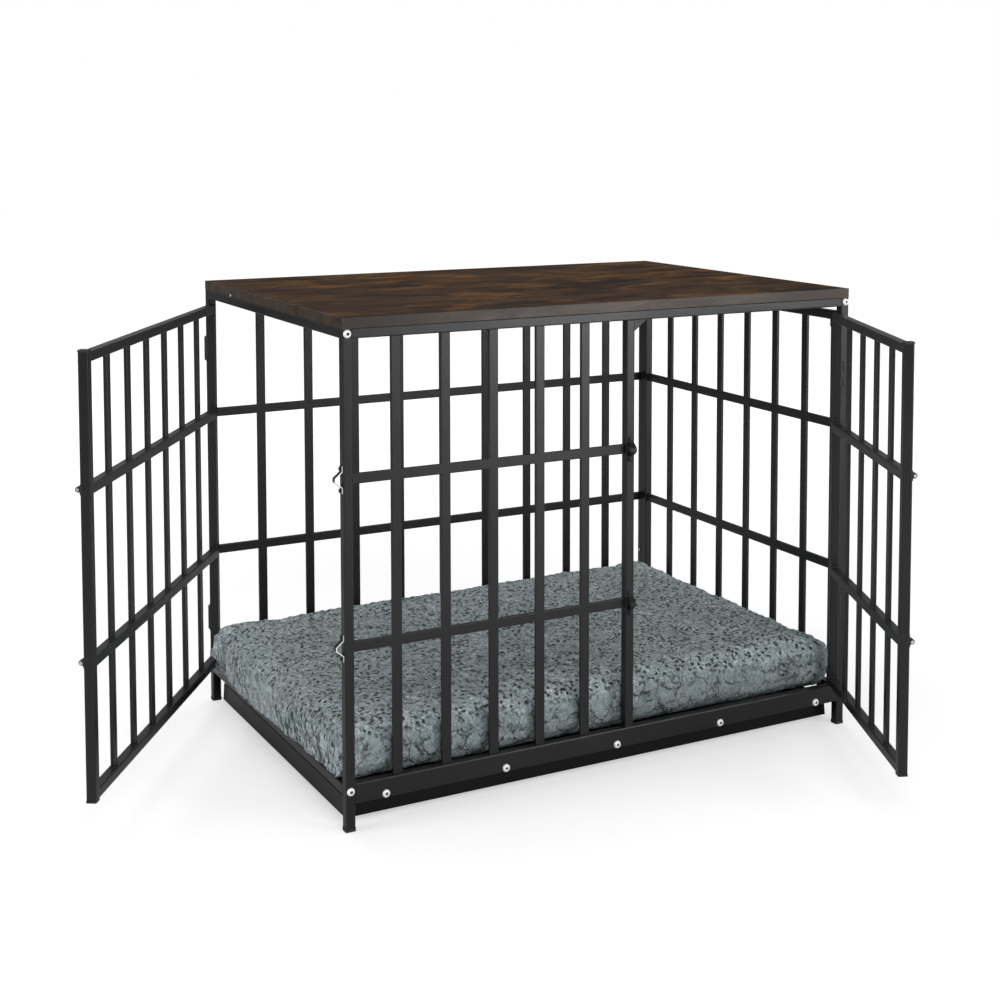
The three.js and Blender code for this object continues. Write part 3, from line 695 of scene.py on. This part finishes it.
def cushion():
    nothing_selected()
    low, high = CUSHION_LOW, CUSHION_HIGH
    bpy.ops.mesh.primitive_cube_add(size=1, location=(low + high) / 2)
    piece = bpy.context.object
    piece.scale = high - low
    bpy.ops.object.transform_apply(location=True, rotation=True, scale=True)
    apply(piece, "BEVEL", width=CUSHION_ROUND, segments=3)
    apply(piece, "REMESH", mode="VOXEL", voxel_size=VOXEL)
    swell(piece)
    shape_to_crate(piece)
    apply(piece, "SUBSURF", levels=1, render_levels=1)
    lumps(piece)
    bpy.ops.object.shade_smooth()
    piece = settle(piece, "plush_cushion", PLUSH)
    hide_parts("cushion")
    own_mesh(piece)
    return piece


# ---------------------------------------------------------------- camera, light and floor
CAMERA_AT = at(-758.794, -1932.839, 900.736)
CAMERA_YAW = 0.516992
CAMERA_PITCH = -0.0725976
CAMERA_ROLL = 0.00196172
FOCAL_SHARE = 1.659476  # focal length over the picture's width
CENTRE_X, CENTRE_Y = 0.579533, 0.245755  # where the axis meets the picture, from its upper left


def camera():
    data = bpy.data.cameras.new("view")
    data.lens = FOCAL_SHARE * data.sensor_width
    data.shift_x = 0.5 - CENTRE_X
    data.shift_y = CENTRE_Y - 0.5
    data.clip_start, data.clip_end = 0.05, 50
    view = bpy.data.objects.new("view", data)
    bpy.context.scene.collection.objects.link(view)
    bpy.context.scene.camera = view
    forward = Vector((
        math.sin(CAMERA_YAW) * math.cos(CAMERA_PITCH),
        math.cos(CAMERA_YAW) * math.cos(CAMERA_PITCH),
        math.sin(CAMERA_PITCH),
    ))
    level = Vector((math.cos(CAMERA_YAW), -math.sin(CAMERA_YAW), 0))
    above = level.cross(forward)
    right = level * math.cos(CAMERA_ROLL) + above * math.sin(CAMERA_ROLL)
    up = above * math.cos(CAMERA_ROLL) - level * math.sin(CAMERA_ROLL)
    view.matrix_world = Matrix.Translation(CAMERA_AT) @ Matrix((right, up, -forward)).transposed().to_4x4()


LAMPS_AIM = (0.4, 0.28, 0.35)
# Each lamp's place, its width and height, and its watts
LAMPS = {
    "front": ((1.78, -2.3, 0.8), (1.1, 1.05), 36),
    "key": ((-0.2, -2.6, 2.5), (1.8, 1.2), 48),
    "side": ((-2.6, 0.2, 1.1), (1.4, 1.2), 38),
    "top": ((0.45, 1.1, 2.9), (2.4, 2.4), 50),
}


def lights():
    for name, (place, size, watts) in LAMPS.items():
        data = bpy.data.lights.new(name, "AREA")
        data.shape = "RECTANGLE"
        data.size, data.size_y = size
        data.energy = watts
        light = bpy.data.objects.new(name, data)
        bpy.context.scene.collection.objects.link(light)
        light.location = place
        light.rotation_mode = "QUATERNION"
        light.rotation_quaternion = (Vector(LAMPS_AIM) - Vector(place)).to_track_quat("-Z", "Y")


WORLD_LIGHT = 0.2  # on the object
WORLD_MIRRORED = 0.1  # the share of its full white that satin black shows


def white_backdrop():
    """A world that shows white to the camera, whose light on the object stays soft."""
    world = bpy.data.worlds.new("studio")
    bpy.context.scene.world = world
    sky = Nodes(world, "Background")
    mirrored = sky.seen_by("Glossy") * WORLD_MIRRORED + sky.seen_by("Transmission")
    white = (sky.seen_by("Camera") + mirrored).bounded()
    sky.set(Color=(1, 1, 1), Strength=WORLD_LIGHT + (1.0 - WORLD_LIGHT) * white)


FLOOR_SIDE = 30
FLOOR_MIDDLE = (0.4, 0.28, 0.0)
FLOOR_NEAR, FLOOR_FAR = 0.9, 3.0  # from the middle: the lamps light what is nearer
GLOW_NEAR, GLOW_MORE = 0.5, 0.4


def floor():
    """A floor that shows white to the camera and keeps the crate's shadow."""
    bpy.ops.mesh.primitive_plane_add(size=FLOOR_SIDE, location=(0, 0, -0.0005))
    ground = bpy.context.object
    ground.name = "studio_floor"
    shade = Shade("studio_floor")
    away = shade.vector_math("DISTANCE", shade.place(), FLOOR_MIDDLE, out="Value")
    glow = GLOW_NEAR + GLOW_MORE * shade.level(away, FLOOR_NEAR, FLOOR_FAR)
    shade.set(
        Base_Color=FLOOR_GREY,
        Roughness=1.0,
        Specular_IOR_Level=0.0,
        Emission_Color=(1, 1, 1),
        Emission_Strength=shade.seen_by("Camera") * glow,
    )
    ground.data.materials.append(shade.material)


bpy.context.scene.view_settings.view_transform = "Standard"
camera()
lights()
white_backdrop()
floor()
dress_frame()
keeper_screws()
frame_screws()
cushion()
